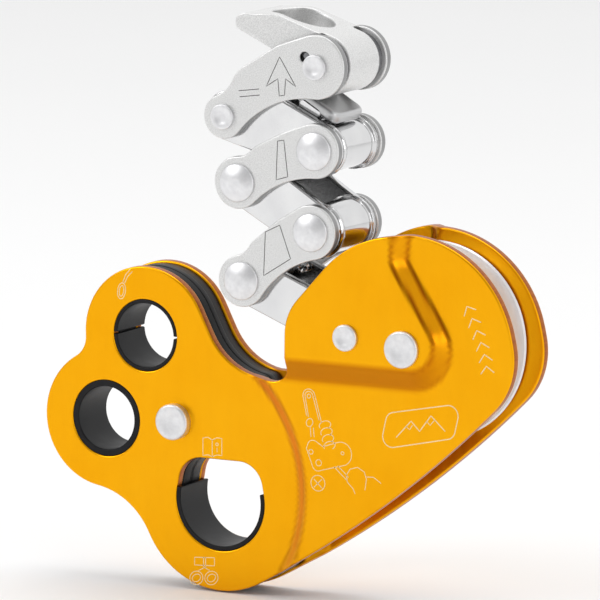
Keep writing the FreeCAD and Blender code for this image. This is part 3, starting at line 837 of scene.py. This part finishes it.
def turnedSheave():
    half = boxOf("sheave")[1].y
    reach, lip = sheave["groove"], sheave["lip"]
    rim = [(sheave["radius"] - lip * (1 - math.sin(t)), half - lip * (1 - math.cos(t)))
           for t in np.linspace(0, math.pi / 2, 4)]
    groove = [(sheave["grooveCentre"] - reach * math.sin(t), reach * math.cos(t))
              for t in np.linspace(sheave["grooveEnd"], math.pi - sheave["grooveEnd"], 33)]
    inside, outside = sheave["recess"]
    face = [(inside, half), (inside, sheave["web"]), (outside, sheave["web"]), (outside, half)]
    hub, clip, step, seat = (sheave[name] for name in ("hub", "clip", "step", "bearing"))
    profile = [(step, -half)] + [(r, -y) for r, y in face] + [(r, -y) for r, y in rim]
    profile += groove[::-1] + rim[::-1] + face[::-1]
    profile += [(clip, half), (clip, seat), (hub, seat), (hub, -seat), (step, -seat), (step, -half)]
    piece = makePiece("turned_sheave", *lathe(profile, axle, 160), [aluminium])
    crisp = piece.modifiers.new("edges", "EDGE_SPLIT")
    crisp.split_angle = math.radians(sheave["crispPast"])
    solidMesh(piece)
    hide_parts("sheave")
    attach(piece, "sheave_wheel")


turnedSheave()
print("sheave made")


# The rivets are turned solids, set out with Geometry Nodes.
rivets = {
    "domed": {"radius": 4.8, "height": 1.6, "shank": 2.6, "dimple": 0.10},
    "flat": {"radius": 3.2, "height": 1.0, "shank": 2.6, "chamfer": 0.3},
    "frame": {"radius": 4.65, "height": 2.3, "shank": 3.5, "chamfer": 0.75},
    "axle": {"radius": 4.7, "height": 1.1, "shank": 4.0, "chamfer": 0.6},
    "stud": {"radius": 3.4, "height": 1.0, "shank": 2.5, "chamfer": 0.5, "flange": 4.2, "flangeDepth": 0.7,
             "inside": 6.6},
}
head = {
    "footInset": 0.05, "footRise": 0.08, "sunk": 0.02, "spin": 6.28, "seed": 7,
    "dome": 0.72, "dimple": 0.30,                      # shares of the height and of the radius
    "domeRows": (0.95, 0.88, 0.78, 0.66, 0.54, 0.42, 0.32, 0.27, 0.22, 0.14, 0.07, 0.0),
    "ring": (0.55, 0.50), "ringDepth": 0.08,           # the turned ring in a flat head
    "chamferLead": 1.3, "chamferTurn": (0.25, 1.57), "flat": 0.2, "flangeEdge": 0.15,
}


def headFoot(radius, face):
    return [(radius - head["footInset"], face), (radius, face + head["footRise"])]


def domedHead(size, face):
    radius, top = size["radius"], face + size["height"]
    rise = size["height"] * head["dome"]
    ball = (radius ** 2 + rise ** 2) / (2 * rise)
    rows = headFoot(radius, face) + [(radius, top - rise)]
    for share in head["domeRows"]:
        r = radius * share
        sink = size["dimple"] * max(0.0, 1 - (share / head["dimple"]) ** 2)
        rows.append((r, top - (ball - math.sqrt(ball ** 2 - r ** 2)) - sink))
    return rows


def flatHead(size, face):
    radius, top, cut = size["radius"], face + size["height"], size["chamfer"]
    rows = headFoot(radius, face) + [(radius, top - cut * head["chamferLead"]), (radius, top - cut)]
    rows += [(radius - cut * (1 - math.cos(t)), top - cut * (1 - math.sin(t)))
             for t in np.linspace(*head["chamferTurn"], 5)]
    outer, inner = head["ring"]
    low = top - head["ringDepth"]
    rows += [(radius - cut - head["flat"], top), (radius * outer, top), (radius * inner, low), (0.0, low)]
    return rows


def rivetSolid(name, kind, face, look):
    # a whole rivet round the origin, or a pair of headed studs whose flanges end at the level inside
    size = rivets[kind]
    rows = domedHead(size, face) if kind == "domed" else flatHead(size, face)
    half = [(size["shank"], face - head["sunk"])] + rows
    if "inside" not in size:
        return makePiece(name, *lathe([(r, -y) for r, y in half[::-1]] + half, (0, 0)), [look])
    inside, flange, cut = size["inside"], size["flange"], head["flangeEdge"]
    step = inside + size["flangeDepth"]
    half = [(0.0, inside), (flange - cut, inside), (flange, inside + cut), (flange, step),
            (size["shank"], step)] + half
    pair = [lathe([(r, side * y) for r, y in half], (0, 0)) for side in (-1, 1)]
    return makePiece(name, *merged(*pair), [look])


def rivetTree():
    tree = bpy.data.node_groups.new("rivets_at_points", "GeometryNodeTree")
    sockets = {}
    inputs = (("Points", "Geometry"), ("Rivet", "Object"), ("Spin", "Float"), ("Finish", "Material"))
    for name, kind in inputs:
        sockets[name] = tree.interface.new_socket(name=name, in_out="INPUT", socket_type="NodeSocket" + kind)
    tree.interface.new_socket(name="Solid", in_out="OUTPUT", socket_type="NodeSocketGeometry")
    kinds = ("NodeGroupInput", "GeometryNodeObjectInfo", "GeometryNodeInstanceOnPoints",
             "FunctionNodeRandomValue", "ShaderNodeCombineXYZ", "GeometryNodeRealizeInstances",
             "GeometryNodeSetMaterial", "NodeGroupOutput")
    start, info, place, chance, turn, real, finish, end = (tree.nodes.new(kind) for kind in kinds)
    chance.inputs["Seed"].default_value = head["seed"]
    join = tree.links.new
    join(start.outputs["Rivet"], info.inputs["Object"])
    join(start.outputs["Points"], place.inputs["Points"])
    join(info.outputs["Geometry"], place.inputs["Instance"])
    join(start.outputs["Spin"], chance.inputs[3])
    join(chance.outputs[1], turn.inputs["Y"])
    join(turn.outputs[0], place.inputs["Rotation"])
    join(place.outputs["Instances"], real.inputs["Geometry"])
    join(real.outputs["Geometry"], finish.inputs["Geometry"])
    join(start.outputs["Finish"], finish.inputs["Material"])
    join(finish.outputs["Geometry"], end.inputs["Solid"])
    return tree, {name: socket.identifier for name, socket in sockets.items()}


rivetNodes, rivetInputs = rivetTree()


def setRivets(name, kind, face, places, body, replaced):
    solid = rivetSolid(name + "_one", kind, face, rivet)
    mesh = bpy.data.meshes.new(name)
    mesh.from_pydata([(x * mm, 0, z * mm) for x, z in places], [], [])
    mesh.materials.append(rivet)
    piece = standing(name, mesh)
    nodes = piece.modifiers.new("rivets", "NODES")
    nodes.node_group = rivetNodes
    nodes[rivetInputs["Rivet"]] = solid
    nodes[rivetInputs["Spin"]] = head["spin"]
    nodes[rivetInputs["Finish"]] = rivet
    solidMesh(piece)
    piece.data.shade_smooth()
    bpy.data.objects.remove(solid)
    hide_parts(*replaced)
    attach(piece, body)


outerFace = boxOf("outer_plate_2_rear")[1].y
for number, kind in ((1, "flat"), (2, "domed"), (3, "domed")):
    b, a = chain["plates"][number][:2]
    setRivets(f"chain_rivets_{number}", kind, outerFace, (pins[b], pins[a]), plateBody[number],
              ("chain_pin_" + b, "chain_pin_" + a))
setRivets("body_rivet", "frame", plate["lobe"], (rivetAt,), "frame", ("frame_rivet",))
setRivets("axle_rivet", "axle", plate["boss"], (axle,), "frame", ("pulley_axle",))
setRivets("pivot_studs", "stud", plate["boss"], (stud,), "frame", ("link_pivot_studs",))
print("rivets made")


# The marks on the plates are thin inlaid lines.
inlays = {"line": 0.28, "fine": 0.2, "proud": 0.02, "sunk": 0.06, "step": 1.0}


def fineLine(points, closed):
    # the same line with points no further apart than a step, so that it follows the plate
    points = [np.array(p, float) for p in points]
    made = []
    for a, b in zip(points, points[1:] + points[:1] if closed else points[1:]):
        count = max(1, math.ceil(np.linalg.norm(b - a) / inlays["step"]))
        made += [a + (b - a) * k / count for k in range(count)]
    return np.array(made if closed else made + [points[-1]])


def inlay(points, level, width, closed=False):
    # a thin closed strip along a line, on the front side
    line = fineLine(points, closed)
    run = np.roll(line, -1, axis=0) - np.roll(line, 1, axis=0)
    if not closed:
        run[0], run[-1] = line[1] - line[0], line[-1] - line[-2]
    run /= np.maximum(np.linalg.norm(run, axis=1), 1e-9)[:, None]
    across = np.column_stack([-run[:, 1], run[:, 0]]) * width / 2
    rows = []
    for offset, depth in ((across, inlays["proud"]), (-across, inlays["proud"]), (-across, -inlays["sunk"]),
                          (across, -inlays["sunk"])):
        flat = line + offset
        rows.append(np.column_stack([flat[:, 0], -(level(flat) + depth), flat[:, 1]]))
    count = len(line)
    faces = bandFaces(len(rows), count, ringed=True, closed=closed)
    if not closed:
        corners = range(len(rows))
        faces += [tuple(k * count for k in corners), tuple(k * count + count - 1 for k in corners[::-1])]
    return np.concatenate(rows), faces


def arc(centre, radius, start, end, squeeze=1.0, lean=0.0, count=16):
    # points along part of an ellipse whose long axis leans; angles in degrees
    turn = np.radians(np.linspace(start, end, count))
    u, w = radius * np.cos(turn), radius * squeeze * np.sin(turn)
    c, s = math.cos(math.radians(lean)), math.sin(math.radians(lean))
    return [(centre[0] + a * c - b * s, centre[1] + a * s + b * c) for a, b in zip(u, w)]


def ring(centre, radius, squeeze=1.0, lean=0.0):
    return arc(centre, radius, 0, 360, squeeze, lean, 21)[:-1]


def markPiece(name, strips, look, body):
    piece = makePiece(name, *merged(*strips), [look])
    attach(piece, body)


def bodyMarks():
    fine, line = inlays["fine"], inlays["line"]
    draw = []

    def add(points, closed=False, width=fine):
        draw.append(inlay(points, outerLevel, width, closed))

    # a connector by the upper hole
    add(ring((-28.6, 51.4), 2.1, 0.55, 80), True)
    add(ring((-28.6, 51.4), 1.4, 0.45, 80), True)
    add([(-28.2, 53.6), (-27.4, 55.6), (-26.0, 57.2)])
    add([(-27.7, 53.4), (-26.8, 55.2), (-25.4, 56.6)])
    # an open booklet above the harness hole
    add([(-4.9, 15.6), (-3.4, 15.9), (-2.2, 15.3), (-0.8, 16.0), (0.6, 15.9), (0.6, 11.5), (-0.8, 11.6),
         (-2.2, 11.0), (-3.4, 11.4), (-4.9, 11.1)], True)
    add([(-2.2, 15.3), (-2.2, 11.0)])
    add(ring((-0.8, 14.3), 0.35), True)
    add([(-0.8, 13.4), (-0.8, 12.3)])
    # a harness belt below the harness hole
    add([(-7.4, -15.3), (-1.6, -14.9), (-1.6, -17.0), (-7.4, -17.3)], True)
    add([(-4.8, -15.0), (-4.8, -17.8)])
    add([(-4.2, -15.0), (-4.2, -17.8)])
    for centre in ((-6.9, -20.6), (-2.5, -20.2)):
        add(ring(centre, 2.0, 0.85, 30), True)
        add(ring(centre, 1.3, 0.7, 30), True)
    add([(-6.3, -18.7), (-4.6, -17.7), (-3.0, -18.3)])
    # the ascender in use: an arm that pulls on a rope, with the device and its anchor
    add(arc((27.0, 29.4), 1.7, 10, 190) + [(26.4, 24.2)])
    add([(28.7, 29.7), (30.6, 22.9)])
    add(arc((27.0, 29.4), 1.1, 10, 190) + [(26.9, 24.0)])
    add([(28.1, 29.6), (29.9, 23.4)])
    add(ring((27.0, 29.3), 0.5), True)
    add(ring((27.2, 22.6), 1.1, 0.8, 60), True)
    add([(27.4, 21.4), (27.6, 19.0)])
    add([(28.3, 21.4), (28.5, 19.0)])
    for z in (22.3, 20.6, 18.9, 17.2):
        add(arc((31.6 + (22.3 - z) * 0.25, z), 1.7, -70, 200, 0.62, 20))
    add([(26.3, 16.0)] + arc((28.2, 16.6), 1.6, 160, 60) + [(31.0, 16.8)] + arc((36.2, 15.4), 3.0, 110, -80)
        + [(31.4, 11.0)] + arc((29.6, 12.2), 1.7, -60, -170), True)
    add(ring((29.8, 12.6), 0.8), True)
    add(ring((27.6, 15.2), 0.6), True)
    add(ring((36.6, 15.6), 0.4), True)
    add([(34.2, 12.0), (36.0, 10.4), (37.9, 8.8)])
    add([(35.2, 12.3), (37.0, 10.9), (38.3, 9.6)])
    add([(38.0, 8.4), (37.7, 10.2), (38.8, 11.8), (40.9, 12.4), (42.8, 11.4), (43.4, 9.6), (43.0, 6.8)])
    add([(38.0, 8.4), (39.6, 6.9), (40.2, 5.6)])
    add([(43.4, 10.2), (45.4, 10.3), (47.6, 8.9)])
    add(ring((29.6, 7.4), 2.0), True)
    add([(28.4, 8.4), (30.8, 6.2)])
    add([(30.7, 8.5), (28.5, 6.3)])
    # a plain emblem: two peaks in a rounded frame
    frameLine = beltPoints([(50.6, 20.9, 2.6), (65.8, 24.2, 2.6), (66.6, 27.6, 2.6), (51.4, 24.6, 2.6)])
    add(frameLine, True, line)
    add([(51.8, 20.9), (56.0, 25.4), (58.4, 23.0), (61.6, 27.2), (65.6, 23.6)], False, line)
    add([(54.6, 23.9), (55.6, 23.2), (56.4, 24.4)])
    add([(60.4, 25.6), (61.4, 24.8), (62.6, 26.2)])
    # a row of chevrons beside the boss
    for share in np.linspace(0, 1, 6):
        x, z = 77.2 - 5.2 * share ** 1.4, 40.0 + 14.6 * share
        lean = math.radians(10 + 20 * share)
        side = np.array([math.cos(lean), math.sin(lean)])
        top = np.array([-math.sin(lean), math.cos(lean)])
        base = np.array([x, z])
        add([base - side * 1.9 - top * 0.9, base + top * 0.9, base + side * 1.9 - top * 0.9], False, line)
    markPiece("body_marks", draw, paleInlay, "frame")


def chainMarks():
    face = constant(outerFace)
    line = inlays["fine"]
    arrow = [(20.3, 114.6), (24.9, 107.4), (22.0, 109.2), (21.7, 105.1), (20.2, 104.8), (19.8, 109.1),
             (16.5, 107.0)]
    strips = [inlay(arrow, face, line, True)]
    for dash in ([(8.6, 105.4), (14.4, 106.2)], [(8.9, 103.9), (14.6, 104.7)]):
        strips.append(inlay(dash, face, line))
    markPiece("arrow_mark", strips, darkInlay, "top_plates")
    bar = [(19.7, 93.5), (21.5, 93.8), (22.6, 84.7), (19.3, 83.7)]
    markPiece("bar_mark", [inlay(bar, face, line, True)], darkInlay, "middle_plates")
    wedge = [(16.2, 70.4), (20.3, 72.4), (23.4, 64.1), (15.7, 59.3)]
    markPiece("wedge_mark", [inlay(wedge, face, line, True)], darkInlay, "lower_plates")


bodyMarks()
chainMarks()
print("marks made")


view = {"azimuth": 29.1, "elevation": 8.9, "distance": 1.85, "aim": (23.16, -7.125, 53.0), "lens": 444.0}
studio = {
    "floorSize": 12.0, "floorDrop": 0.4,               # metres, and millimetres below the object
    "floor": (0.93, 0.93, 0.93, 1), "floorShade": (0.90, 0.90, 0.90, 1),
    "sky": ((0.0, 0.38), (0.22, 0.50), (0.60, 1.0), (1.0, 1.0)),   # greys from the front to the back
    "lights": {"key": ((-1.1, -1.2, 1.0), (0.8, 0.8), 9), "fill": ((1.5, -0.9, 0.5), (0.5, 0.9), 3),
               "top": ((0.1, 0.2, 1.6), (1.0, 1.0), 6)},           # place and size in metres, watts
}


def makeCamera():
    turn, tilt = math.radians(view["azimuth"]), math.radians(view["elevation"])
    back = Vector((math.sin(turn) * math.cos(tilt), -math.cos(turn) * math.cos(tilt), math.sin(tilt)))
    data = bpy.data.cameras.new("camera")
    data.sensor_width, data.lens = 36.0, view["lens"]
    data.clip_start, data.clip_end = 0.05, 50.0
    camera = standing("camera", data)
    camera.location = Vector(view["aim"]) * mm + back * view["distance"]
    camera.rotation_mode = "QUATERNION"
    camera.rotation_quaternion = (-back).to_track_quat("-Z", "Y")
    bpy.context.scene.camera = camera


def softBox(name, place, size, energy):
    data = bpy.data.lights.new(name, "AREA")
    data.shape, data.size, data.size_y, data.energy = "RECTANGLE", size[0], size[1], energy
    light = standing(name, data)
    light.location = place
    light.rotation_mode = "QUATERNION"
    aim = Vector(view["aim"]) * mm
    light.rotation_quaternion = (aim - Vector(place)).to_track_quat("-Z", "Y")


def makeWorld():
    paint = Paint("studio", bpy.data.worlds, "Generated")
    bpy.context.scene.world = paint.owner
    depth = paint.node("ShaderNodeSeparateXYZ", {}, {0: paint.place}, "Y")
    stops = [(position, (tone, tone, tone, 1)) for position, tone in studio["sky"]]
    tone = paint.node("ShaderNodeValToRGB", {"stops": stops}, {"Fac": paint.ramp(depth, -1, 1)})
    glow = paint.node("ShaderNodeBackground", {}, {"Color": tone})
    paint.node("ShaderNodeOutputWorld", {}, {"Surface": glow})


def makeFloor():
    work = bmesh.new()
    bmesh.ops.create_grid(work, x_segments=1, y_segments=1, size=studio["floorSize"])
    mesh = bpy.data.meshes.new("floor")
    work.to_mesh(mesh)
    work.free()
    mesh.transform(Matrix.Translation((0, 0, cadBox[0].z - studio["floorDrop"] * mm)))
    paint = Paint("pale_floor")
    color = paint.blend(paint.noise(3, 2), studio["floor"], studio["floorShade"])
    mesh.materials.append(paint.finish(Base_Color=color, Roughness=0.8))
    floor = standing("floor", mesh)


makeCamera()
makeWorld()
makeFloor()
for name, light in studio["lights"].items():
    softBox(name, *light)
bpy.context.scene.view_settings.view_transform = "Standard"
print("stage made")
